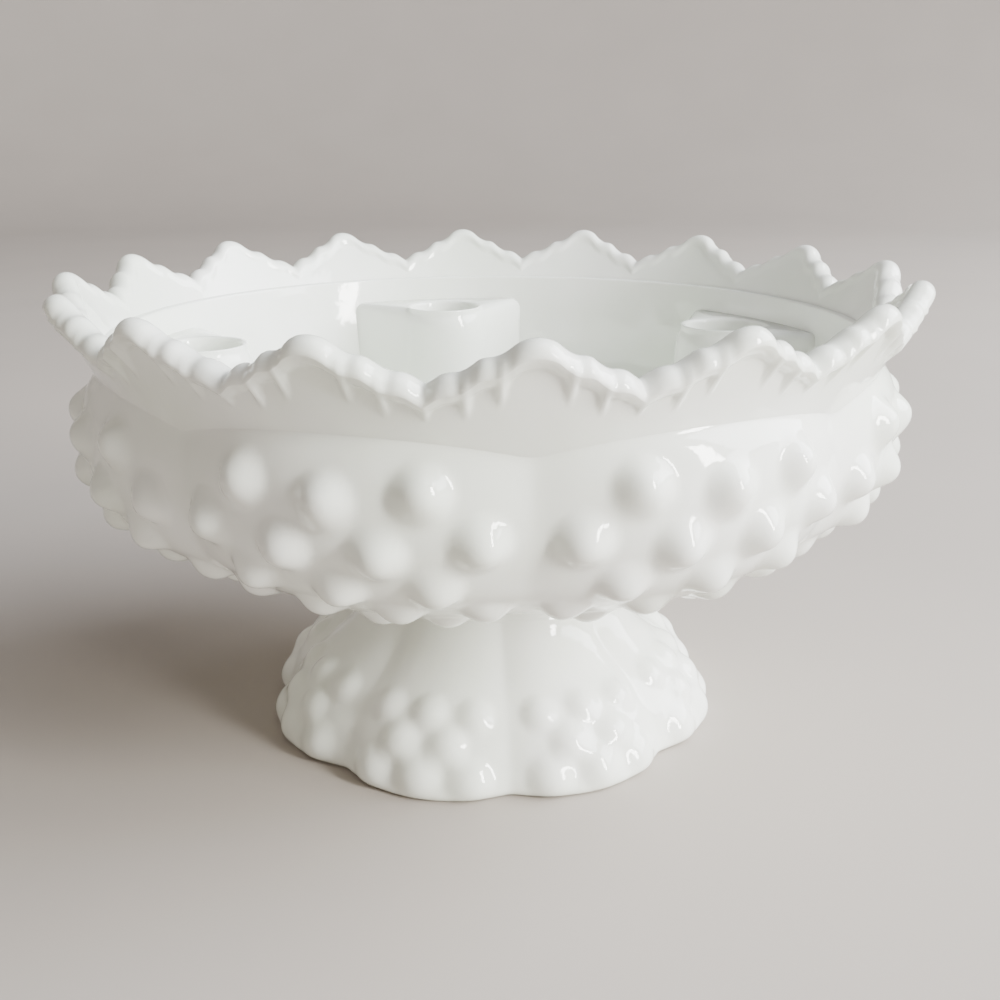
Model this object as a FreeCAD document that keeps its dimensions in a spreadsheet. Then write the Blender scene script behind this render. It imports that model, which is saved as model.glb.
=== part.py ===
import FreeCAD, Part
import math
import os
import re
import Sketcher

# A footed serving bowl of pressed opal glass: an eight-lobed hobnail basin on a hollow lobed foot,
# a flaring crown of scalloped petals round the rim, and five candle cups standing on the inner wall.
# Frame: +Z up, origin on the table at the centre of the foot. A crease between lobes faces -Y.

doc = FreeCAD.newDocument("serving_bowl")
sheet = doc.addObject("Spreadsheet::Sheet", "Sizes")

SIZES = [
    # repeats
    ("lobe_count", 8, "lobes of the basin and of the foot"),
    ("petal_count", 16, "petals of the crown"),
    ("cup_count", 5, "candle cups"),
    ("first_cup_angle", -48, "direction of the first candle cup, from +X"),
    # crown
    ("rim_radius", 101.6, "outer radius at the petal tips"),
    ("rim_height", 115.1, "height of the petal tips"),
    ("valley_drop", 9.5, "depth of the notches between petals"),
    ("crown_lean", 4.4, "how far inside the petal tips the crown is at the notches"),
    ("crown_seat", 6.1, "how far inside the widest place of a lobe the crown leaves the basin"),
    ("crown_overlap", 9.1, "how far the crown's skirt reaches down the basin's creases"),
    ("crown_wall", 4.5, "radial thickness of a petal"),
    ("ledge_drop", 4.4, "how far the fine step inside lies below the notches"),
    ("ledge_step", 1.5, "width of that step"),
    ("middle_bead_reach", 6.0, "half width of a petal's middle bead"),
    ("middle_bead_drop", 4.0, "how far the middle bead's ends lie below its top"),
    ("side_bead_reach", 12.2, "outer end of the next bead, from the petal's middle"),
    ("side_bead_drop", 6.9, "how far that end lies below the petal's tip"),
    # basin
    ("basin_radius", 96.8, "widest radius of a lobe"),
    ("basin_widest_drop", 34.1, "how far that widest place lies below the petal tips"),
    ("basin_side_arc", 25.0, "radius of a lobe's bulging side"),
    ("basin_turn_angle", 60.0, "how far below level the bulging side ends"),
    ("basin_under_arc", 200.0, "radius of the underside's gentle arc"),
    ("basin_sag", 4.4, "how far that arc dips below the neck's top at the lobe's axis"),
    ("basin_top_drop", 18.6, "how far the top of a lobe lies below the petal tips"),
    ("basin_axis_low", 24.0, "offset of a lobe's own axis at the neck's top"),
    ("basin_axis_high", 37.6, "offset of a lobe's own axis at the widest place"),
    ("core_radius", 34.0, "radius of the round core at the neck"),
    ("basin_wall", 3.6, "least thickness of the basin's wall, behind the creases"),
    # interior
    ("basin_side_wall", 10.0, "glass between the round interior and the widest place of a lobe"),
    ("floor_thickness", 11.4, "from the neck's top to the interior's floor"),
    ("inner_corner", 31.0, "radius of the corner between floor and wall"),
    ("inner_flare", 2.8, "how much the interior widens up to the step"),
    # neck
    ("neck_top_height", 40.6, "height where the basin meets the neck"),
    ("neck_top_radius", 37.6, "radius of the neck where it meets the basin"),
    ("neck_height", 6.1, "height of the neck between foot and basin"),
    ("neck_margin", 3.0, "how far the neck stays inside the foot's lobes below it"),
    ("neck_arc", 14.0, "radius of the neck's hollow side"),
    # foot
    ("foot_radius", 58.4, "radius of a foot lobe on the table"),
    ("foot_skirt_arc", 32.0, "radius of the foot's rounded skirt"),
    ("foot_lean", 10.0, "how far the skirt leans in at the table"),
    ("foot_turn_angle", 52.0, "how far it leans in where the skirt turns hollow"),
    ("foot_top_radius", 33.5, "radius of the foot at the neck"),
    ("foot_waist_arc", 54.0, "radius of the hollow stretch above the skirt"),
    ("foot_axis_low", 26.0, "offset of a foot lobe's own axis on the table"),
    ("foot_axis_high", 14.5, "offset of a foot lobe's own axis at the neck"),
    ("foot_rim_width", 10.9, "width of the ring that a foot lobe stands on"),
    ("foot_hollow_arc", 50.0, "radius of the hollow's side"),
    ("foot_hollow_top", 24.0, "radius of the hollow's flat top"),
    ("foot_wall", 5.5, "thickness between the foot's hollow and the neck"),
    # hobnails
    ("nub_base_radius", 6.0, "radius of a basin hobnail's root"),
    ("nub_tip_radius", 2.4, "radius of its blunt tip"),
    ("nub_stand", 3.4, "how far it stands out"),
    ("nub_root", 1.5, "how far its root is sunk into the glass"),
    ("nub_pitch", 18.5, "angle between basin hobnails, about a lobe's own axis"),
    ("foot_nub_pitch", 26.0, "angle between foot hobnails, about a lobe's own axis"),
    # candle cups
    ("cup_top_drop", 2.0, "how far a candle cup's flat top lies below the top of a lobe"),
    ("cup_reach", 25.4, "how far a candle cup stands in from the wall"),
    ("cup_half_width", 27.0, "half width of a candle cup at the wall"),
    ("cup_tip_arc", 13.5, "radius of a candle cup's rounded tip"),
    ("cup_tip_turn", 62.0, "how far round its tip the rounding goes, each side"),
    ("socket_radius", 10.0, "radius of a candle socket"),
    ("socket_depth", 20.0, "depth of a candle socket"),
    ("socket_inset", 12.8, "from a candle cup's tip to its socket's centre"),
]

# Hobnail rows of one basin lobe, top to bottom: how many, how far below level on the bulging side
# in degrees, and how far past its lower end in mm.
BASIN_ROWS = [(3, -12, 0), (4, 13, 0), (3, 36, 0), (4, 60, 1.0), (3, 60, 14.0)]

# Hobnail rows of one foot lobe, top to bottom: how many, how far the skirt leans in there, and size.
FOOT_ROWS = [(3, 48, 0.55), (2, 33, 0.65), (3, 20, 0.8)]

ALIASES = [alias for alias, value, note in SIZES]

# Places that follow from the sizes.
DERIVED = {
    "crown_mid_radius": "(rim_radius - crown_lean)",
    "crown_base_radius": "(basin_radius - crown_seat)",
    "basin_widest_height": "(rim_height - basin_widest_drop)",
    "basin_top_height": "(rim_height - basin_top_drop)",
    "inner_radius": "(basin_radius - basin_side_wall)",
    "foot_hollow_radius": "(foot_radius - foot_rim_width)",
    "cup_top_height": "(rim_height - basin_top_drop - cup_top_drop)",
    "cup_tip_radius": "(basin_radius - basin_side_wall - cup_reach)",
}


def fill_sheet():
    for row, (alias, value, note) in enumerate(SIZES, start=1):
        sheet.set("A%d" % row, alias)
        sheet.set("B%d" % row, str(value))
        sheet.set("C%d" % row, note)
        sheet.setAlias("B%d" % row, alias)
    doc.recompute()


def cell(expression):
    """The expression with derived places written out, and the sheet's name before each alias."""
    def written_out(word):
        return DERIVED.get(word.group(), word.group())

    def named(word):
        return "Sizes." + word.group() if word.group() in ALIASES else word.group()
    return re.sub(r"[a-z_]+", named, re.sub(r"[a-z_]+", written_out, expression))


def value_of(expression):
    result = sheet.evalExpression(cell(expression))
    return float(getattr(result, "Value", result))


def bind(thing, **places):
    """Binds properties of a document object: bind(box, Length="rim_radius")."""
    for name, expression in places.items():
        thing.setExpression(name.replace("__", "."), cell(expression))


def origin_plane(body, role):
    for feature in body.Origin.OriginFeatures:
        if feature.Role == role:
            return feature
    raise ValueError(role)


def new_body(label):
    body = doc.addObject("PartDesign::Body", label)
    body.Label = label
    return body


# ---- sketches ----

def arc_between(start, end, radius, turn):
    """The shorter arc of a radius from start to end; turn is 1 anticlockwise and -1 clockwise."""
    chord = end - start
    half = chord.Length / 2
    rise = math.sqrt(max(radius ** 2 - half ** 2, 0))
    left = FreeCAD.Vector(-chord.y, chord.x, 0).normalize()
    centre = (start + end) / 2 + left * rise * turn
    first, last = (start, end) if turn > 0 else (end, start)
    angles = [math.atan2(p.y - centre.y, p.x - centre.x) for p in (first, last)]
    circle = Part.Circle(centre, FreeCAD.Vector(0, 0, 1), radius)
    return Part.ArcOfCircle(circle, angles[0], angles[1])


def hold(sketch, constraint, expression=None):
    number = sketch.addConstraint(constraint)
    if expression:
        sketch.setExpression("Constraints[%d]" % number, cell(expression))


def hold_point(sketch, edge, end, across, along):
    """Ties one end of an edge to the sheet: its distances across and along the sketch."""
    for kind, axis, expression in (("DistanceX", -2, across), ("DistanceY", -1, along)):
        if expression == "0":
            hold(sketch, Sketcher.Constraint("PointOnObject", edge, end, axis))
        else:
            size = value_of(expression)
            hold(sketch, Sketcher.Constraint(kind, -1, 1, edge, end, size), expression)


def closed_outline(body, name, role, corners, arcs=()):
    """A closed sketch. corners are pairs of expressions; arcs maps a corner's number to the radius
    and turn of the arc that leaves it, and every other side is straight."""
    sketch = body.newObject("Sketcher::SketchObject", name)
    sketch.AttachmentSupport = [(origin_plane(body, role), "")]
    sketch.MapMode = "FlatFace"
    arcs = dict(arcs)
    points = [FreeCAD.Vector(value_of(a), value_of(b), 0) for a, b in corners]
    ends = []
    for number, start in enumerate(points):
        end = points[(number + 1) % len(points)]
        if number in arcs:
            radius, turn = arcs[number]
            edge = sketch.addGeometry(arc_between(start, end, value_of(radius), turn))
            ends.append((edge, 1, 2) if turn > 0 else (edge, 2, 1))
        else:
            edge = sketch.addGeometry(Part.LineSegment(start, end))
            ends.append((edge, 1, 2))
    for number, (edge, start, end) in enumerate(ends):
        following = ends[(number + 1) % len(ends)]
        hold(sketch, Sketcher.Constraint("Coincident", edge, end, following[0], following[1]))
    for (edge, start, end), (across, along) in zip(ends, corners):
        hold_point(sketch, edge, start, across, along)
    for number, (radius, turn) in arcs.items():
        edge = ends[number][0]
        hold(sketch, Sketcher.Constraint("Radius", edge, value_of(radius)), radius)
    return sketch


def add_axis(sketch, low, high):
    """A construction line from low to high, pairs of expressions, for a revolution."""
    start, end = [FreeCAD.Vector(value_of(a), value_of(b), 0) for a, b in (low, high)]
    edge = sketch.addGeometry(Part.LineSegment(start, end), True)
    hold_point(sketch, edge, 1, *low)
    hold_point(sketch, edge, 2, *high)


def revolve(body, sketch, name, axis=None, cut=False):
    kind = "PartDesign::Groove" if cut else "PartDesign::Revolution"
    feature = body.newObject(kind, name)
    feature.Profile = sketch
    feature.ReferenceAxis = axis or (sketch, ["V_Axis"])
    feature.Angle = 360
    return feature


# ---- lobed shapes ----

def wedge_cut(body, name, reach):
    """Cuts the body down to one lobe's wedge, about +X."""
    half = "180 / lobe_count"
    edge = "%s * tan(%s)" % (reach, half)
    corners = [("0", "0"), (reach, edge), (reach, "2 * %s" % reach), ("-%s" % reach, "2 * %s" % reach),
               ("-%s" % reach, "-2 * %s" % reach), (reach, "-2 * %s" % reach), (reach, "-%s" % edge)]
    sketch = closed_outline(body, name + "_outline", "XY_Plane", corners)
    pocket = body.newObject("PartDesign::Pocket", name)
    pocket.Profile = sketch
    pocket.Type = "ThroughAll"
    pocket.SideType = "Symmetric"
    return pocket


def spin_lobe(body, outline, low, high):
    """Turns a lobe's outline about its own tilted axis."""
    add_axis(outline, low, high)
    revolve(body, outline, "lobe", (outline, ["Axis0"]))


def add_nub(body, label, size, across, height, slope, turn, low, high):
    """A hobnail, a blunt cone, that stands square on the surface at a radius and height of the
    lobe's middle, where the surface faces so far below level. It is then turned by an angle about
    the lobe's own axis, which goes from low to high."""
    axis = "vector(%s - (%s); 0; %s - (%s))" % (high[0], low[0], high[1], low[1])
    turned = "placement(vector(%s; 0; %s); rotation(%s; %s))" % (low[0], low[1], axis, turn)
    back = "placement(vector(-1 * (%s); 0; -1 * (%s)); rotation(vector(0; 0; 1); 0))" % low
    seat = "placement(vector(%s; 0; %s); rotation(vector(0; 1; 0); 90 + (%s)))" % (across, height, slope)
    nub = body.newObject("PartDesign::AdditiveCone", label)
    bind(nub,
         Radius1="%s * nub_base_radius" % size,
         Radius2="%s * nub_tip_radius" % size,
         Height="%s * nub_stand + nub_root" % size,
         Placement=" * ".join([turned, back, seat]))


def repeat_lobes(body):
    """Cuts the finished lobe to its wedge, and repeats the wedge round the bowl's axis."""
    wedge_cut(body, "wedge", "2 * rim_radius")
    doc.recompute()
    pattern = body.newObject("PartDesign::PolarPattern", "lobes")
    pattern.TransformMode = "Whole shape"
    pattern.Axis = (origin_plane(body, "Z_Axis"), [""])
    pattern.Angle = 360
    bind(pattern, Occurrences="lobe_count")
    body.Tip = pattern


def trim(body, name, low, high):
    """Cuts away everything between two heights, out to past the rim."""
    corners = [("0", low), ("2 * rim_radius", low), ("2 * rim_radius", high), ("0", high)]
    revolve(body, closed_outline(body, name + "_outline", "XZ_Plane", corners), name, cut=True)


# ---- interior, shared by the basin, the crown and the candle cups ----

FLOOR = "neck_top_height + floor_thickness"
LEDGE = "rim_height - valley_drop - ledge_drop"
CORNER_TOP = "(%s + inner_corner)" % FLOOR


def inner_radius_at(height):
    """Radius of the interior's flaring wall at a height."""
    return "inner_radius + inner_flare * (%s - %s) / (%s - %s)" % (height, CORNER_TOP, LEDGE, CORNER_TOP)


def interior_outline(body, name, top):
    corners = [("0", FLOOR), ("inner_radius - inner_corner", FLOOR), ("inner_radius", CORNER_TOP),
               (inner_radius_at(top), top), ("0", top)]
    return closed_outline(body, name, "XZ_Plane", corners, {1: ("inner_corner", 1)})


# ---- basin ----

BASIN_LOW = ("basin_axis_low", "neck_top_height")
BASIN_HIGH = ("basin_axis_high", "basin_widest_height")
BASIN_TRIM = "12"  # mm that a lobe is turned past its top and bottom, before both are trimmed


def axis_offset(low, high, height):
    """Offset of a lobe's axis at a height."""
    return "%s + (%s - %s) * (%s - (%s)) / (%s - (%s))" % (
        low[0], high[0], low[0], height, low[1], high[1], low[1])


def basin_side(angle, past="0", inset="0"):
    """A place on a basin lobe's middle: so far below level on the bulging side, then so far
    straight on, and an inset under the surface."""
    radius = "(basin_side_arc - (%s))" % inset
    across = "basin_radius - basin_side_arc + %s * cos(%s) - %s * sin(%s)" % (radius, angle, past, angle)
    height = "basin_widest_height - %s * sin(%s) - %s * cos(%s)" % (radius, angle, past, angle)
    return across, height


def make_basin():
    basin = new_body("basin")
    rise = "asin((basin_top_height - basin_widest_height) / basin_side_arc)"
    shoulder = basin_side("-%s" % rise)[0]
    low = "neck_top_height - basin_sag"
    high = "basin_top_height + %s" % BASIN_TRIM
    corners = [(axis_offset(BASIN_LOW, BASIN_HIGH, low), low),
               basin_side("basin_turn_angle"),
               (shoulder, "basin_top_height"),
               (shoulder, high),
               (axis_offset(BASIN_LOW, BASIN_HIGH, high), high)]
    arcs = {0: ("basin_under_arc", 1), 1: ("basin_side_arc", 1)}
    outline = closed_outline(basin, "lobe_outline", "XZ_Plane", corners, arcs)
    spin_lobe(basin, outline, BASIN_LOW, BASIN_HIGH)
    core = [("0", "neck_top_height"), ("core_radius", "neck_top_height"),
            ("inner_radius - inner_corner", "%s - basin_wall" % FLOOR),
            ("inner_radius + basin_wall", CORNER_TOP), ("0", CORNER_TOP)]
    arcs = {2: ("inner_corner + basin_wall", 1)}
    revolve(basin, closed_outline(basin, "core_outline", "XZ_Plane", core, arcs), "core")
    for row, (count, angle, past) in enumerate(BASIN_ROWS, start=1):
        across, height = basin_side(str(angle), str(past), "nub_root")
        for place in range(count):
            turn = "(%s * nub_pitch)" % (place - (count - 1) / 2)
            label = "hobnail_%d_%d" % (row, place + 1)
            add_nub(basin, label, "1", across, height, str(angle), turn, BASIN_LOW, BASIN_HIGH)
    revolve(basin, interior_outline(basin, "hollow_outline", "basin_top_height"), "hollow", cut=True)
    trim(basin, "top_trim", "basin_top_height", "basin_top_height + 4 * %s" % BASIN_TRIM)
    trim(basin, "neck_trim", "neck_top_height - 3 * %s" % BASIN_TRIM, "neck_top_height")
    repeat_lobes(basin)
    bind(basin, Placement__Rotation__Angle="180 / lobe_count")
    return basin


# ---- crown ----

def petal_outline(body):
    """What is cut away above one petal, with its middle bead and two beads down each side."""
    tip = "rim_height"
    valley_reach = "crown_mid_radius * sin(180 / petal_count)"
    middle_radius = "(middle_bead_reach ^ 2 + middle_bead_drop ^ 2) / (2 * middle_bead_drop)"
    right = [("middle_bead_reach", "%s - middle_bead_drop" % tip),
             ("side_bead_reach", "%s - side_bead_drop" % tip),
             (valley_reach, "%s - valley_drop" % tip)]
    left = [("-(%s)" % across, height) for across, height in reversed(right)]
    above = "%s + crown_wall" % tip
    above_reach = "(rim_radius + crown_wall) * sin(180 / petal_count)"
    corners = left + right + [(above_reach, above), ("-%s" % above_reach, above)]

    def bead_radius(start, end):
        return "0.57 * sqrt((%s - (%s)) ^ 2 + (%s - (%s)) ^ 2)" % (end[0], start[0], end[1], start[1])
    arcs = {2: (middle_radius, -1)}
    for number in (0, 1, 3, 4):
        arcs[number] = (bead_radius(corners[number], corners[number + 1]), -1)
    return closed_outline(body, "petal_outline", "XZ_Plane", corners, arcs)


def make_crown(basin):
    ring = new_body("crown_ring")
    notch = "rim_height - valley_drop"
    base = "basin_top_height - crown_overlap"
    corners = [(inner_radius_at(base), base),
               ("crown_base_radius", base),
               ("crown_mid_radius", notch),
               ("rim_radius", "rim_height"),
               ("rim_radius - crown_wall", "rim_height"),
               ("crown_mid_radius - crown_wall", notch),
               ("inner_radius + inner_flare + ledge_step", LEDGE),
               ("inner_radius + inner_flare", LEDGE)]
    revolve(ring, closed_outline(ring, "ring_outline", "XZ_Plane", corners), "ring")
    cut = ring.newObject("PartDesign::Pocket", "petal_cut")
    cut.Profile = petal_outline(ring)
    cut.Type = "ThroughAll"
    petals = ring.newObject("PartDesign::PolarPattern", "petals")
    petals.Originals = [cut]
    petals.Axis = (origin_plane(ring, "Z_Axis"), [""])
    petals.Angle = 360
    bind(petals, Occurrences="petal_count")
    ring.Tip = petals
    crown = doc.addObject("Part::Cut", "crown")
    crown.Label = "crown"
    crown.Base = ring
    crown.Tool = basin
    return crown


# ---- neck and foot ----

NECK_BOTTOM = "neck_top_height - neck_height"
FOOT_LOW = ("foot_axis_low", "0 * foot_axis_low")
FOOT_HIGH = ("foot_axis_high", NECK_BOTTOM)
FOOT_TRIM = "10"  # mm that a foot lobe is turned past its top and bottom, before both are trimmed


def make_neck():
    neck = new_body("neck")
    corners = [("0", NECK_BOTTOM), ("foot_top_radius - neck_margin", NECK_BOTTOM),
               ("neck_top_radius", "neck_top_height"), ("0", "neck_top_height")]
    outline = closed_outline(neck, "neck_outline", "XZ_Plane", corners, {1: ("neck_arc", -1)})
    revolve(neck, outline, "neck_turning")
    return neck


def foot_skirt(lean, inset="0"):
    """A place on a foot lobe's middle, where the rounded skirt leans in by an angle."""
    radius = "(foot_skirt_arc - (%s))" % inset
    across = "foot_radius - foot_skirt_arc * cos(foot_lean) + %s * cos(%s)" % (radius, lean)
    height = "%s * sin(%s) - foot_skirt_arc * sin(foot_lean)" % (radius, lean)
    return across, height


def make_foot():
    foot = new_body("foot")
    low = foot_skirt("-foot_lean")
    high = "%s + %s" % (NECK_BOTTOM, FOOT_TRIM)
    corners = [(axis_offset(FOOT_LOW, FOOT_HIGH, low[1]), low[1]),
               low,
               foot_skirt("foot_turn_angle"),
               ("foot_top_radius", NECK_BOTTOM),
               ("foot_top_radius", high),
               (axis_offset(FOOT_LOW, FOOT_HIGH, high), high)]
    arcs = {1: ("foot_skirt_arc", 1), 2: ("foot_waist_arc", -1)}
    outline = closed_outline(foot, "lobe_outline", "XZ_Plane", corners, arcs)
    spin_lobe(foot, outline, FOOT_LOW, FOOT_HIGH)
    for row, (count, lean, size) in enumerate(FOOT_ROWS, start=1):
        across, height = foot_skirt(str(lean), "nub_root")
        for place in range(count):
            turn = "(%s * foot_nub_pitch)" % (place - (count - 1) / 2)
            label = "hobnail_%d_%d" % (row, place + 1)
            add_nub(foot, label, str(size), across, height, str(-lean), turn, FOOT_LOW, FOOT_HIGH)
    trim(foot, "top_trim", NECK_BOTTOM, "%s + 3 * %s" % (NECK_BOTTOM, FOOT_TRIM))
    trim(foot, "table_trim", "-4 * %s" % FOOT_TRIM, "0")
    hollow_top = "%s - foot_wall" % NECK_BOTTOM
    hollow = [("0", "-foot_wall"), ("foot_hollow_radius", "-foot_wall"), ("foot_hollow_radius", "0"),
              ("foot_hollow_top", hollow_top), ("0", hollow_top)]
    outline = closed_outline(foot, "hollow_outline", "XZ_Plane", hollow, {2: ("foot_hollow_arc", 1)})
    revolve(foot, outline, "hollow", cut=True)
    repeat_lobes(foot)
    bind(foot, Placement__Rotation__Angle="180 / lobe_count")
    return foot


# ---- candle cups ----

def make_cup_block():
    """A candle cup as a plain prism that runs past the wall, with its blind socket."""
    block = new_body("cup_block")
    tip_across = "cup_tip_radius + cup_tip_arc * (1 - cos(cup_tip_turn))"
    tip_aside = "cup_tip_arc * sin(cup_tip_turn)"
    corners = [(tip_across, "-(%s)" % tip_aside), ("inner_radius", "-cup_half_width"),
               ("rim_radius", "-cup_half_width"), ("rim_radius", "cup_half_width"),
               ("inner_radius", "cup_half_width"), (tip_across, tip_aside)]
    outline = closed_outline(block, "plan", "XY_Plane", corners, {5: ("cup_tip_arc", 1)})
    pad = block.newObject("PartDesign::Pad", "prism")
    pad.Profile = outline
    bind(pad, Length="cup_top_height")
    socket = block.newObject("PartDesign::SubtractiveCylinder", "socket")
    bind(socket,
         Radius="socket_radius",
         Height="2 * socket_depth",
         Placement__Base__x="cup_tip_radius + socket_inset",
         Placement__Base__z="cup_top_height - socket_depth")
    return block


def make_cups():
    block = make_cup_block()
    interior = new_body("interior")
    revolve(interior, interior_outline(interior, "interior_outline", "cup_top_height"), "interior_turning")
    cups = []
    for number in range(int(value_of("cup_count"))):
        cup = doc.addObject("Part::Common", "candle_cup_%d" % (number + 1))
        cup.Label = "candle_cup_%d" % (number + 1)
        cup.Base = block
        cup.Tool = interior
        cup.Placement = FreeCAD.Placement()
        bind(cup, Placement__Rotation__Angle="first_cup_angle + %d * 360 / cup_count" % number)
        cups.append(cup)
    return cups


# ---- build, check and write ----

def check_document():
    for thing in doc.Objects:
        bad = [state for state in thing.State if state in ("Invalid", "Error")]
        if bad:
            raise RuntimeError("%s: %s" % (thing.Label, thing.State))


def write_nodes(nodes):
    for node in nodes:
        if node.Shape.isNull() or not node.Shape.isValid():
            raise RuntimeError("%s: no valid shape" % node.Label)
    os.makedirs("parts", exist_ok=True)
    for node in nodes:
        node.Shape.exportStep("parts/%s.step" % node.Label)
        box = node.Shape.BoundBox
        print("%-14s %d solid, %9.1f mm3, x %.1f..%.1f z %.1f..%.1f" % (
            node.Label, len(node.Shape.Solids), node.Shape.Volume, box.XMin, box.XMax, box.ZMin, box.ZMax))


fill_sheet()
basin = make_basin()
crown = make_crown(basin)
neck = make_neck()
foot = make_foot()
cups = make_cups()
doc.recompute()
check_document()
write_nodes([basin, crown, neck, foot] + cups)
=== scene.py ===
import math

import bmesh
import bpy
from mathutils import Matrix, Vector


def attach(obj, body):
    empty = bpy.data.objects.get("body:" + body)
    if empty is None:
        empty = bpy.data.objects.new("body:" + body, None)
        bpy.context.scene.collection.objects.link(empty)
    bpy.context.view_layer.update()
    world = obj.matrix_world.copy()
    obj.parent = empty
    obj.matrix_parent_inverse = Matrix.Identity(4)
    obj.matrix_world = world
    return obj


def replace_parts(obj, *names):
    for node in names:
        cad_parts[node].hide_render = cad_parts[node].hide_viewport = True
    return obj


# A footed serving bowl pressed in opaque white glass. Shapes are worked in millimetres,
# with a lobe or petal lying along +X, and turned into metres when a piece is finished.

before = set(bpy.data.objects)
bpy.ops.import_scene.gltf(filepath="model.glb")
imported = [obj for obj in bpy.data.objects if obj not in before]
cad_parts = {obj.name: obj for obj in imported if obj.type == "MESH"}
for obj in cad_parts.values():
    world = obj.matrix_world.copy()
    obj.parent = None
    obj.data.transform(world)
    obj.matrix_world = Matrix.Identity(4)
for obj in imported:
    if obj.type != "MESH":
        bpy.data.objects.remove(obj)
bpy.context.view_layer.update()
mm = 0.001
fullTurn = 2 * math.pi
halfLobe = fullTurn / 16
print("frame loaded:", len(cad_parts), "nodes")


# colours and shader nodes

def colour(hexText):
    channels = []
    for place in (1, 3, 5):
        value = int(hexText[place:place + 2], 16) / 255
        channels.append(value / 12.92 if value <= 0.04045 else ((value + 0.055) / 1.055) ** 2.4)
    return (*channels, 1)


def addNode(tree, kind, values=None, links=None, **settings):
    node = tree.nodes.new(kind)
    for name, value in settings.items():
        setattr(node, name, value)
    for socket, value in (values or {}).items():
        node.inputs[socket].default_value = value
    for socket, source in (links or {}).items():
        tree.links.new(source, node.inputs[socket])
    return node


def newMaterial(name):
    material = bpy.data.materials.new(name)
    material.use_nodes = True
    material.node_tree.nodes.clear()
    return material, material.node_tree


milkGlass = {
    "clear": "#F4F6F0",     # where the opal is dense
    "thin": "#ECF1E6",      # where it is a little thinner and greener
    "cloudSize": 38,        # mm, width of the soft clouds in the opal
    "waveSize": 16,         # mm, slow waves left by fire polishing
    "chillSize": 3.2,       # mm, fine ripple where hot glass met the cold mould
    "hazeSize": 24,         # mm, patches dulled by handling and washing
    "cloudRange": (0.35, 0.65),
    "hazeRange": (0.3, 0.7),
    "roughness": (0.04, 0.09),      # freshly washed, and where it is dulled
    "wave": (0.35, 0.0012),         # strength and height in metres
    "chill": (0.16, 0.0003),
    "index": 1.51,
    "glow": 0.15,                   # share of light that enters the opal
    "glowDepth": 0.0012,            # metres
    "glowColour": (1.0, 1.0, 0.95),
}


def pressedMilkGlass():
    # opal soda-lime glass, pressed in an iron mould and fire polished: dense white with a faint
    # green depth, a wet gloss, and highlights that wander because the skin is never quite true
    material, tree = newMaterial("pressedMilkGlass")
    place = addNode(tree, "ShaderNodeTexCoord").outputs["Object"]
    clouds = addNode(tree, "ShaderNodeTexNoise",
                     {"Scale": 1000 / milkGlass["cloudSize"], "Detail": 3, "Roughness": 0.5},
                     {"Vector": place})
    spread = addNode(tree, "ShaderNodeMapRange",
                     {"From Min": milkGlass["cloudRange"][0], "From Max": milkGlass["cloudRange"][1]},
                     {"Value": clouds.outputs["Fac"]})
    tint = addNode(tree, "ShaderNodeMix",
                   {"A": colour(milkGlass["thin"]), "B": colour(milkGlass["clear"])}, data_type="RGBA")
    tree.links.new(spread.outputs["Result"], tint.inputs["Factor"])
    haze = addNode(tree, "ShaderNodeTexNoise", {"Scale": 1000 / milkGlass["hazeSize"], "Detail": 4},
                   {"Vector": place})
    gloss = addNode(tree, "ShaderNodeMapRange",
                    {"From Min": milkGlass["hazeRange"][0], "From Max": milkGlass["hazeRange"][1],
                     "To Min": milkGlass["roughness"][0], "To Max": milkGlass["roughness"][1]},
                    {"Value": haze.outputs["Fac"]})
    waves = addNode(tree, "ShaderNodeTexNoise", {"Scale": 1000 / milkGlass["waveSize"], "Detail": 1},
                    {"Vector": place})
    chill = addNode(tree, "ShaderNodeTexNoise", {"Scale": 1000 / milkGlass["chillSize"], "Detail": 2},
                    {"Vector": place})
    slow = addNode(tree, "ShaderNodeBump",
                   {"Strength": milkGlass["wave"][0], "Distance": milkGlass["wave"][1]},
                   {"Height": waves.outputs["Fac"]})
    fine = addNode(tree, "ShaderNodeBump",
                   {"Strength": milkGlass["chill"][0], "Distance": milkGlass["chill"][1]},
                   {"Height": chill.outputs["Fac"], "Normal": slow.outputs["Normal"]})
    skin = addNode(tree, "ShaderNodeBsdfPrincipled",
                   {"IOR": milkGlass["index"], "Subsurface Weight": milkGlass["glow"],
                    "Subsurface Radius": milkGlass["glowColour"],
                    "Subsurface Scale": milkGlass["glowDepth"]},
                   {"Base Color": tint.outputs["Result"], "Roughness": gloss.outputs["Result"],
                    "Normal": fine.outputs["Normal"]})
    addNode(tree, "ShaderNodeOutputMaterial", links={"Surface": skin.outputs["BSDF"]})
    return material


glass = pressedMilkGlass()


# shaping tools

def smoothLine(points):
    # points are (radius, height, rings up to the next); gives one (radius, height) for each ring
    spots = [Vector((radius, height)) for radius, height, rings in points]
    headings = []
    for number, spot in enumerate(spots):
        before = spot - spots[max(number - 1, 0)]
        after = spots[min(number + 1, len(spots) - 1)] - spot
        headings.append((before.normalized() + after.normalized()).normalized())
    rings = []
    for number, (start, end) in enumerate(zip(spots, spots[1:])):
        span = (end - start).length
        steps = points[number][2]
        for step in range(steps):
            f = step / steps
            rings.append(start * (2 * f ** 3 - 3 * f ** 2 + 1) + end * (3 * f ** 2 - 2 * f ** 3)
                         + headings[number] * span * (f ** 3 - 2 * f ** 2 + f)
                         + headings[number + 1] * span * (f ** 3 - f ** 2))
    return rings + [spots[-1]]


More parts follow.
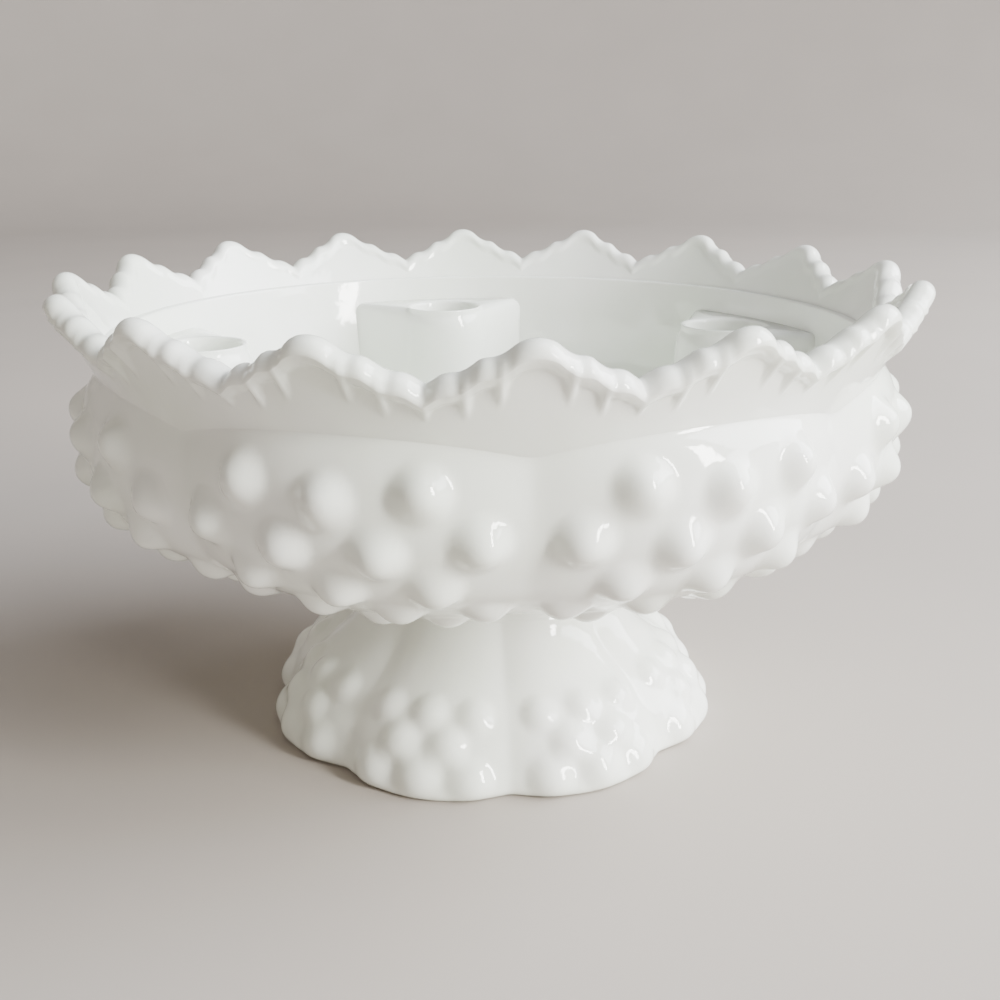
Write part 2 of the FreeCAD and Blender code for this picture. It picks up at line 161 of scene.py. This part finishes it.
def spunTube(turn, columns, rings):
    # a plain tube of radius 1 and height 1, spun about Z and centred on +X
    mesh = bmesh.new()
    low = mesh.verts.new((1, 0, 0))
    high = mesh.verts.new((1, 0, 1))
    line = mesh.edges.new((low, high))
    bmesh.ops.subdivide_edges(mesh, edges=[line], cuts=rings - 1)
    bmesh.ops.rotate(mesh, verts=mesh.verts[:], cent=(0, 0, 0),
                     matrix=Matrix.Rotation(-turn / 2, 3, "Z"))
    bmesh.ops.spin(mesh, geom=mesh.verts[:] + mesh.edges[:], cent=(0, 0, 0), axis=(0, 0, 1),
                   angle=turn, steps=columns, use_merge=turn > fullTurn - 0.01)
    return mesh


def pullToShape(mesh, rings, place):
    # moves each vertex of the tube to where place says, from its ring and its angle
    for vertex in mesh.verts:
        x, y, z = vertex.co
        vertex.co = place(round(z * rings), math.atan2(y, x))


def repeatRound(mesh, count):
    bmesh.ops.spin(mesh, geom=mesh.verts[:] + mesh.edges[:] + mesh.faces[:], cent=(0, 0, 0),
                   axis=(0, 0, 1), angle=fullTurn - fullTurn / count, steps=count - 1,
                   use_duplicate=True)


def finishPiece(mesh, name, turn=0):
    bmesh.ops.rotate(mesh, verts=mesh.verts[:], cent=(0, 0, 0), matrix=Matrix.Rotation(turn, 3, "Z"))
    bmesh.ops.scale(mesh, verts=mesh.verts[:], vec=(mm, mm, mm))
    bmesh.ops.remove_doubles(mesh, verts=mesh.verts[:], dist=0.00001)
    bmesh.ops.recalc_face_normals(mesh, faces=mesh.faces[:])
    for face in mesh.faces:
        face.smooth = True
    data = bpy.data.meshes.new(name)
    mesh.to_mesh(data)
    mesh.free()
    data.materials.append(glass)
    piece = bpy.data.objects.new(name, data)
    bpy.context.scene.collection.objects.link(piece)
    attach(piece, "root")
    print(name, "made:", len(data.polygons), "faces")
    return piece


def polar(radius, angle, height):
    return Vector((radius * math.cos(angle), radius * math.sin(angle), height))


def softMax(a, b, blend):
    return (a + b + math.sqrt((a - b) ** 2 + blend ** 2)) / 2


def between(low, high, share):
    return low + (high - low) * share


def lobed(radius, offset, angle, valley):
    # a lobe is a smaller circle set out from the bowl's axis; valley rounds the crease, in degrees
    fromCrease = math.hypot(halfLobe - abs(angle), math.radians(valley))
    angle = max(halfLobe - fromCrease, 0)
    ahead, aside = offset * math.cos(angle), offset * math.sin(angle)
    return ahead + math.sqrt((radius - offset) ** 2 - aside ** 2)


def hobnails(rows, pitch, low, high):
    # each row is (count, radius, height, slope below level, base radius, stand, lift of the outer ones)
    pivot = Vector((low[0], 0, low[1]))
    axis = Vector((high[0] - low[0], 0, high[1] - low[1]))
    nails = []
    for count, radius, height, slope, base, stand, lift in rows:
        for number in range(count):
            place = number - (count - 1) / 2
            turned = Matrix.Rotation(math.radians(place * pitch), 3, axis)
            spot = turned @ (Vector((radius, 0, height)) - pivot) + pivot
            facing = turned @ polar(math.cos(math.radians(slope)), 0, -math.sin(math.radians(slope)))
            nails.append((spot + Vector((0, 0, lift * abs(place))), facing, base, stand))
    return nails


nailRoundness = 2.3   # higher is blunter, with a steeper side


def raiseNails(point, nails):
    raised = point.copy()
    for spot, facing, base, stand in nails:
        away = point - spot
        depth = away.dot(facing)
        reach = (away - facing * depth).length / base
        if reach < 1 and abs(depth) < base:
            raised += facing * stand * (1 - reach ** nailRoundness) ** 2
    return raised


# crown: sixteen petals with beaded, rolled edges

crown = {
    "petals": 16,
    "columns": 64,                # across one petal
    "tip": 115.1,
    "seat": (90.7, 88.5),         # radius and height where it leaves the basin
    "flare": 0.475,               # how far the outside leans out for each mm above that
    "inside": (91.4, 101.2),      # radius and height where the inside starts, on the ledge
    "insideFlare": 0.6,
    "halfPetal": 19.6,
    # half of the edge, from the petal's tip: (start, end, radius), places across and below the tip
    "beads": [((0, 0), (6.0, -4.0), 6.5), ((6.0, -4.0), (12.2, -6.9), 4.3),
              ((12.2, -6.9), (19.6, -9.5), 6.0)],
    "rollWidth": 5.2,
    "rollMiddle": 0.45,           # share of its width where the roll stands highest
    "rollStand": 2.1,
    "rollDrop": 2.5,              # how far below the edge the glass takes its thickness
    "nickMelt": 1.7,              # how far fire polishing has rounded the nicks in the edge
    "rollMelt": 2.4,              # and in the roll
    "fangs": ((6.0, 7.5), (12.2, 7.0), (19.6, 4.5)),   # mm from the petal's middle, and length
    "fangStand": 2.7,
    "fangWidth": 1.8,
    "fangPoint": 0.35,            # half width left at its point
    "fangBlend": 0.15,
    "crowding": 1.7,              # draws the rings of the outer face up towards the roll
    "hidden": 84.5,               # lowest place, inside the basin's wall
    "innerLow": 98.5,             # where its inner face passes under the ledge
}


def crownOutside(height):
    return crown["seat"][0] + crown["flare"] * (height - crown["seat"][1])


def crownInside(height):
    return crown["inside"][0] + crown["insideFlare"] * (height - crown["inside"][1])


def beadedEdge(across):
    # height of the beaded edge above a place across the petal, with sharp nicks between beads
    across = min(abs(across), crown["halfPetal"])
    for start, end, radius in crown["beads"]:
        if across <= end[0]:
            break
    if start[0] == 0:
        return crown["tip"] - radius + math.sqrt(radius ** 2 - across ** 2)
    chord = Vector(end) - Vector(start)
    up = Vector((-chord.y, chord.x)).normalized()
    centre = (Vector(start) + Vector(end)) / 2 - up * math.sqrt(radius ** 2 - chord.length_squared / 4)
    return crown["tip"] + centre.y + math.sqrt(radius ** 2 - (across - centre.x) ** 2)


def softEdge(across, reach):
    # the same edge with its nicks melted over a reach either side
    return sum(beadedEdge(across + reach * step / 3) for step in range(-3, 4)) / 7   # seven places


def petalRelief(across, height):
    # the roll along the edge, and the pointed ridges that hang from it
    below = softEdge(across, crown["rollMelt"]) - height
    middle = crown["rollWidth"] * crown["rollMiddle"]
    roll = 1 - ((below - middle) / (crown["rollWidth"] - middle)) ** 2
    relief = crown["rollStand"] * math.sqrt(max(roll, 0))
    for fang, length in crown["fangs"]:
        share = (below - middle) / length
        if 0 <= share < 1:
            width = crown["fangWidth"] * (1 - share) + crown["fangPoint"]
            ridge = 1 - ((abs(across) - fang) / width) ** 2
            if ridge > 0:
                relief = softMax(relief, crown["fangStand"] * (1 - share) * ridge, crown["fangBlend"])
    return relief


def makeCrown():
    faceRings, capRings, innerRings = 44, 12, 14
    total = faceRings + capRings + innerRings + 2
    halfTurn = math.pi / crown["petals"]

    def place(ring, angle):
        across = angle / halfTurn * crown["halfPetal"]
        edge = softEdge(across, crown["nickMelt"])
        gauge = edge - crown["rollDrop"]
        thick = crownOutside(gauge) - crownInside(gauge) + crown["rollStand"]
        capMiddle = edge - thick / 2
        inner = crownInside(capMiddle)
        if ring <= faceRings:
            share = 1 - (1 - ring / faceRings) ** crown["crowding"]
            height = between(crown["hidden"], capMiddle, share)
            radius = crownOutside(height) + petalRelief(across, height)
        elif ring <= faceRings + capRings:
            outer = crownOutside(capMiddle) + petalRelief(across, capMiddle)
            turn = (ring - faceRings) / capRings * math.pi
            radius = (outer + inner) / 2 + (outer - inner) / 2 * math.cos(turn)
            height = capMiddle + thick / 2 * math.sin(turn)
        elif ring <= faceRings + capRings + innerRings:
            height = between(capMiddle, crown["innerLow"], (ring - faceRings - capRings) / innerRings)
            radius = crownInside(height)
        else:
            share = (ring - faceRings - capRings - innerRings) / 2
            height = between(crown["innerLow"], crown["hidden"], share)
            radius = between(crownInside(crown["innerLow"]), crownOutside(crown["hidden"]), share)
        return polar(radius, angle, height)

    mesh = spunTube(2 * halfTurn, crown["columns"], total)
    pullToShape(mesh, total, place)
    repeatRound(mesh, crown["petals"])
    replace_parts(finishPiece(mesh, "crown_glass"), "crown")


makeCrown()


# basin: eight hobnail lobes outside, a smooth round bowl inside

basin = {
    "columns": 72,
    # rings: (radius, height, rings up to the next)
    "outside": [(0, 43.0, 1), (34.0, 42.6, 2), (38.5, 41.2, 3), (42.5, 41.2, 6), (47.5, 42.7, 8),
                (55.1, 45.3, 8), (63.0, 48.4, 8), (70.8, 51.5, 8), (78.4, 55.1, 8), (85.1, 59.0, 5),
                (88.8, 61.5, 5), (92.0, 64.5, 5), (94.5, 68.2, 5), (96.4, 72.2, 5), (97.6, 76.6, 5),
                (98.0, 81.0, 5), (97.9, 85.6, 4), (97.3, 89.7, 4), (95.9, 93.2, 5), (93.4, 96.0, 5),
                (89.3, 98.0, 3), (84.0, 99.4, 3), (78.0, 100.4, 1)],
    "inside": [(92.6, 101.2, 2), (90.2, 101.2, 2), (89.75, 101.0, 2), (89.6, 100.5, 5), (88.3, 92.5, 5),
               (86.8, 83.0, 4), (85.7, 75.0, 4), (82.6, 67.5, 4), (77.7, 61.1, 4), (71.3, 56.1, 4),
               (63.8, 53.1, 4), (55.8, 52.0, 6), (28.0, 52.0, 4), (0, 52.0, 0)],
    "low": (24.0, 40.6),       # a lobe's own axis at the neck: offset, height
    "high": (37.6, 81.0),      # and at the widest place
    "valley": 1.2,
    "pitch": 18.5,
    "rows": [(3, 97.9, 84.2, -8, 6.7, 3.5, 1.2), (4, 97.1, 73.8, 16, 6.7, 3.6, 0.4),
             (3, 92.9, 65.6, 36, 6.4, 3.2, 0.5), (4, 84.0, 58.6, 60, 6.0, 2.5, 0),
             (3, 72.6, 52.4, 60, 5.6, 2.0, 0)],
    "fillet": 1.2,             # where the lobes run into the crown
    "sunk": 0.5,               # how far the basin's skin lies inside the crown's there
    "lobesFrom": 40,           # mm, radius where lobes begin
    "nailsFrom": 60,           # mm, radius where hobnails begin
    "crownFrom": 80,           # mm, height where the crown's cone takes over
}


def makeBasin():
    outside = smoothLine(basin["outside"])
    line = outside + smoothLine(basin["inside"])
    nails = hobnails(basin["rows"], basin["pitch"], basin["low"], basin["high"])
    lowOffset, lowHeight = basin["low"]
    slope = (basin["high"][0] - lowOffset) / (basin["high"][1] - lowHeight)

    def place(ring, angle):
        radius, height = line[ring]
        if ring >= len(outside):
            return polar(radius, angle, height)
        offset = lowOffset + slope * (height - lowHeight)
        if radius > basin["lobesFrom"]:
            radius = lobed(radius, offset, angle, basin["valley"])
        if height > basin["crownFrom"]:
            radius = softMax(radius, crownOutside(height) - basin["sunk"], basin["fillet"])
        point = polar(radius, angle, height)
        return raiseNails(point, nails) if radius > basin["nailsFrom"] else point

    mesh = spunTube(fullTurn / 8, basin["columns"], len(line) - 1)
    pullToShape(mesh, len(line) - 1, place)
    repeatRound(mesh, 8)
    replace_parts(finishPiece(mesh, "basin_glass", halfLobe), "basin")


makeBasin()


# foot: a hollow lobed skirt with low hobnails

foot = {
    "columns": 56,
    "outside": [(0, 37.0, 1), (27.0, 37.0, 2), (31.5, 36.6, 2), (33.3, 34.6, 3), (33.8, 32.6, 3),
                (35.7, 28.9, 4), (38.3, 25.6, 4), (41.7, 22.4, 4), (45.2, 19.6, 5), (48.9, 16.5, 5),
                (51.9, 13.4, 5), (54.4, 10.0, 5), (56.4, 6.2, 5), (57.9, 2.8, 3), (58.1, 1.4, 3),
                (57.4, 0.3, 2), (56.2, 0, 2)],
    "inside": [(50.0, 0, 2), (48.3, 0.4, 2), (47.4, 1.8, 4), (45.2, 9.5, 4), (41.0, 16.8, 4),
               (34.5, 23.4, 4), (27.0, 27.6, 3), (20.0, 29.0, 3), (0, 29.0, 0)],
    "low": (29.0, 0),
    "high": (14.5, 34.5),
    "valley": 1.5,
    "lobesFrom": 30,
    "nailsAbove": 0.5,         # mm, so the resting face stays flat
    "pitch": 26.0,
    "rows": [(3, 48.0, 18.0, -48, 5.4, 1.4, 0), (2, 53.3, 12.0, -33, 6.2, 1.6, 0),
             (3, 56.7, 6.0, -20, 6.7, 1.7, 0)],
}


def makeFoot():
    outside = smoothLine(foot["outside"])
    line = outside + smoothLine(foot["inside"])
    nails = hobnails(foot["rows"], foot["pitch"], foot["low"], foot["high"])
    lowOffset, lowHeight = foot["low"]
    slope = (foot["high"][0] - lowOffset) / (foot["high"][1] - lowHeight)

    def place(ring, angle):
        radius, height = line[ring]
        if ring >= len(outside):
            return polar(radius, angle, height)
        if radius > foot["lobesFrom"]:
            radius = lobed(radius, lowOffset + slope * (height - lowHeight), angle, foot["valley"])
        point = polar(radius, angle, height)
        return raiseNails(point, nails) if height > foot["nailsAbove"] else point

    mesh = spunTube(fullTurn / 8, foot["columns"], len(line) - 1)
    pullToShape(mesh, len(line) - 1, place)
    repeatRound(mesh, 8)
    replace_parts(finishPiece(mesh, "foot_glass", halfLobe), "foot")


makeFoot()


# neck: the solid waist between foot and basin, its lobes deepening upwards

neck = {
    "columns": 32,
    "line": [(0, 31.0, 1), (28.0, 31.0, 1), (33.0, 33.0, 4), (33.4, 35.5, 4), (35.0, 38.2, 4),
             (38.5, 40.6, 4), (43.5, 42.6, 2), (38.0, 44.5, 1), (0, 44.5, 0)],
    "offsets": (14.5, 24.0),   # of a lobe's own axis, at the two heights
    "heights": (34.5, 41.0),
    "valley": 3.0,
    "lobesFrom": 30,
}


def makeNeck():
    line = smoothLine(neck["line"])

    def place(ring, angle):
        radius, height = line[ring]
        share = (height - neck["heights"][0]) / (neck["heights"][1] - neck["heights"][0])
        if radius > neck["lobesFrom"]:
            offset = between(neck["offsets"][0], neck["offsets"][1], min(max(share, 0), 1))
            radius = lobed(radius, offset, angle, neck["valley"])
        return polar(radius, angle, height)

    mesh = spunTube(fullTurn / 8, neck["columns"], len(line) - 1)
    pullToShape(mesh, len(line) - 1, place)
    repeatRound(mesh, 8)
    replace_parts(finishPiece(mesh, "neck_glass", halfLobe), "neck")


makeNeck()


# candle cups: a boss spun about its socket, its outside pulled out to a rounded wedge

candleCup = {
    "count": 5,
    "firstTurn": -48,          # degrees from +X
    "columns": 120,
    "tip": 61.4,               # nearest place to the bowl's axis
    "tipArc": 13.5,            # radius of the rounded tip
    "tipTurn": 62,             # degrees of that arc before the flat side starts
    "halfWidth": 29.0,         # at the wall
    "wallRadius": 86.8,
    "beyond": 0.5,             # how far a side may pass that width
    "longest": 30,             # farthest from the socket's axis
    "socket": 74.2,
    "rim": 11.5,               # least radius of glass round a socket
    "cornerCentre": (55.8, 83.0),   # of the bowl's rounded inner corner
    "cornerArc": 32.0,
    "wallTop": (87.8, 0.15),        # radius above that corner, and lean
    # rings: (inset from the wedge's outline, height, rings up to the next)
    "side": [(-1.6, 50.0, 10), (0, 86.0, 3), (0.5, 90.6, 4), (1.7, 93.3, 4), (3.8, 94.5, 2)],
    # rings: (radius about the socket, height, rings up to the next)
    "bore": [(11.0, 94.5, 2), (10.3, 94.2, 2), (10.0, 93.4, 8), (9.8, 76.5, 3), (8.6, 74.7, 2),
             (0, 74.5, 0)],
}


def wedgeReach(angle):
    # distance from the socket's axis to the wedge's outline, in a direction from +X
    cup = candleCup
    turn = math.radians(cup["tipTurn"])
    tangent = Vector((cup["tip"] + cup["tipArc"] * (1 - math.cos(turn)),
                      cup["tipArc"] * math.sin(turn)))
    way = Vector((math.cos(angle), abs(math.sin(angle))))
    start = Vector((cup["socket"], 0))
    if math.atan2(way.y, way.x) > math.atan2(tangent.y, tangent.x - cup["socket"]):
        toCentre = Vector((cup["tip"] + cup["tipArc"], 0)) - start
        ahead = toCentre.dot(way)
        return ahead + math.sqrt(ahead ** 2 + cup["tipArc"] ** 2 - toCentre.length_squared)
    side = Vector((cup["wallRadius"], cup["halfWidth"])) - tangent
    outward = Vector((-side.y, side.x)).normalized()
    reach = (tangent - start).dot(outward) / max(way.dot(outward), 0.001)
    if way.y > 0.001:
        reach = min(reach, (cup["halfWidth"] + cup["beyond"]) / way.y)
    return min(reach, cup["longest"])


def keepInWall(point):
    # the part of a cup that would pass through the bowl's wall stays just inside the glass
    radius, height = math.hypot(point.x, point.y), point.z
    centreRadius, centreHeight = candleCup["cornerCentre"]
    limit = candleCup["cornerArc"]
    wall, lean = candleCup["wallTop"]
    if height >= centreHeight:
        newRadius, newHeight = min(radius, wall + lean * (height - centreHeight)), height
    elif radius <= centreRadius:
        newRadius, newHeight = radius, max(height, centreHeight - limit)
    else:
        away = math.hypot(radius - centreRadius, height - centreHeight)
        pull = min(limit / away, 1)
        newRadius = centreRadius + (radius - centreRadius) * pull
        newHeight = centreHeight + (height - centreHeight) * pull
    return Vector((point.x * newRadius / radius, point.y * newRadius / radius, newHeight))


def makeCup(number):
    side = smoothLine(candleCup["side"])
    bore = smoothLine(candleCup["bore"])
    total = len(side) + len(bore) - 1

    def place(ring, angle):
        if ring < len(side):
            inset, height = side[ring]
            reach = max(wedgeReach(angle) - inset, candleCup["rim"])
        else:
            reach, height = bore[ring - len(side)]
        point = Vector((candleCup["socket"], 0, 0)) + polar(reach, angle, height)
        return keepInWall(point)

    mesh = spunTube(fullTurn, candleCup["columns"], total)
    pullToShape(mesh, total, place)
    turn = math.radians(candleCup["firstTurn"]) + number * fullTurn / candleCup["count"]
    piece = finishPiece(mesh, "candle_cup_glass_%d" % (number + 1), turn)
    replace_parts(piece, "candle_cup_%d" % (number + 1))


for number in range(candleCup["count"]):
    makeCup(number)


# stage: a pale round sweep, a bright window and soft daylight from the right

stage = {
    "floor": "#A9A199",
    "floorLight": "#B0A8A0",
    "mottle": 9,
    "matt": 0.75,
    "sweep": [(0, 0), (2.3, 0), (2.3, 2.2)],   # radius and height, in metres
    "sweepBend": 0.8,
    "room": "#E9E7EA",
    "roomStrength": 0.04,
    "aim": (0, 0, 0.06),       # what every light faces
    # name, azimuth, elevation, distance, size, power, tint
    "lights": [("window", 49, 20, 1.7, (0.22, 0.95), 58, "#FFFEFA"),
               ("daylight", 88, 32, 2.0, (1.8, 1.4), 125, "#F4F8FF"),
               ("skylight", 60, 66, 1.8, (1.2, 1.2), 12, "#F4F8FF")],
}


def paintedSweep():
    # matt painted board, a little mottled by the roller
    material, tree = newMaterial("paintedSweep")
    place = addNode(tree, "ShaderNodeTexCoord").outputs["Object"]
    mottle = addNode(tree, "ShaderNodeTexNoise", {"Scale": stage["mottle"], "Detail": 4},
                     {"Vector": place})
    paint = addNode(tree, "ShaderNodeMix",
                    {"A": colour(stage["floor"]), "B": colour(stage["floorLight"])}, data_type="RGBA")
    tree.links.new(mottle.outputs["Fac"], paint.inputs["Factor"])
    board = addNode(tree, "ShaderNodeBsdfPrincipled", {"Roughness": stage["matt"]},
                    {"Base Color": paint.outputs["Result"]})
    addNode(tree, "ShaderNodeOutputMaterial", links={"Surface": board.outputs["BSDF"]})
    return material


def makeSweep():
    # a round cove, so there is pale board behind the bowl from every side
    mesh = bmesh.new()
    row = [mesh.verts.new((radius, 0, height)) for radius, height in stage["sweep"]]
    for pair in zip(row, row[1:]):
        mesh.edges.new(pair)
    bmesh.ops.bevel(mesh, geom=[row[1]], affect="VERTICES", offset=stage["sweepBend"], segments=12,
                    profile=0.5, material=-1)
    bmesh.ops.spin(mesh, geom=mesh.verts[:] + mesh.edges[:], cent=(0, 0, 0), axis=(0, 0, 1),
                   angle=fullTurn, steps=72, use_merge=True)
    bmesh.ops.remove_doubles(mesh, verts=mesh.verts[:], dist=0.0001)
    bmesh.ops.recalc_face_normals(mesh, faces=mesh.faces[:])
    for face in mesh.faces:
        face.smooth = True
    data = bpy.data.meshes.new("studio_sweep")
    mesh.to_mesh(data)
    mesh.free()
    data.materials.append(paintedSweep())
    sweep = bpy.data.objects.new("studio_sweep", data)
    bpy.context.scene.collection.objects.link(sweep)


def addLight(name, azimuth, elevation, distance, size, power, tint):
    # azimuth is from the front, -Y, and grows towards +X
    data = bpy.data.lights.new(name, "AREA")
    data.shape = "RECTANGLE"
    data.size, data.size_y = size
    data.energy = power
    data.color = colour(tint)[:3]
    light = bpy.data.objects.new(name, data)
    turn, rise = math.radians(azimuth), math.radians(elevation)
    way = Vector((math.sin(turn) * math.cos(rise), -math.cos(turn) * math.cos(rise),
                  math.sin(rise)))
    light.location = way * distance + Vector(stage["aim"])
    light.rotation_euler = way.to_track_quat("Z", "Y").to_euler()
    bpy.context.scene.collection.objects.link(light)


makeSweep()
for light in stage["lights"]:
    addLight(*light)
world = bpy.data.worlds.new("room")
world.use_nodes = True
background = world.node_tree.nodes["Background"]
background.inputs["Color"].default_value = colour(stage["room"])
background.inputs["Strength"].default_value = stage["roomStrength"]
bpy.context.scene.world = world
print("stage lit")


# camera

view = {
    "lens": 43.53,
    "place": (0, -0.29935, 0.15009),   # before it is turned about the bowl's axis
    "turn": -4.69,                     # degrees about Z
    "down": 17.644,                    # degrees below level
    "yaw": 0.0090,                     # radians
    "roll": -0.0038,
    "sensor": 36,                      # mm
    "nearest": 0.01,
}


def addCamera():
    data = bpy.data.cameras.new("camera")
    data.lens = view["lens"]
    data.sensor_width = view["sensor"]
    data.clip_start = view["nearest"]
    camera = bpy.data.objects.new("camera", data)
    down = math.radians(view["down"])
    yaw, roll = view["yaw"], view["roll"]
    ahead = Vector((math.sin(yaw) * math.cos(down), math.cos(yaw) * math.cos(down),
                    -math.sin(down)))
    right = Vector((math.cos(yaw), -math.sin(yaw), 0))
    up = right.cross(ahead)
    right, up = (right * math.cos(roll) + up * math.sin(roll),
                 up * math.cos(roll) - right * math.sin(roll))
    facing = Matrix((right, up, -ahead)).transposed().to_4x4()
    spot = Matrix.Translation(view["place"])
    camera.matrix_world = Matrix.Rotation(math.radians(view["turn"]), 4, "Z") @ spot @ facing
    bpy.context.scene.collection.objects.link(camera)
    bpy.context.scene.camera = camera


addCamera()
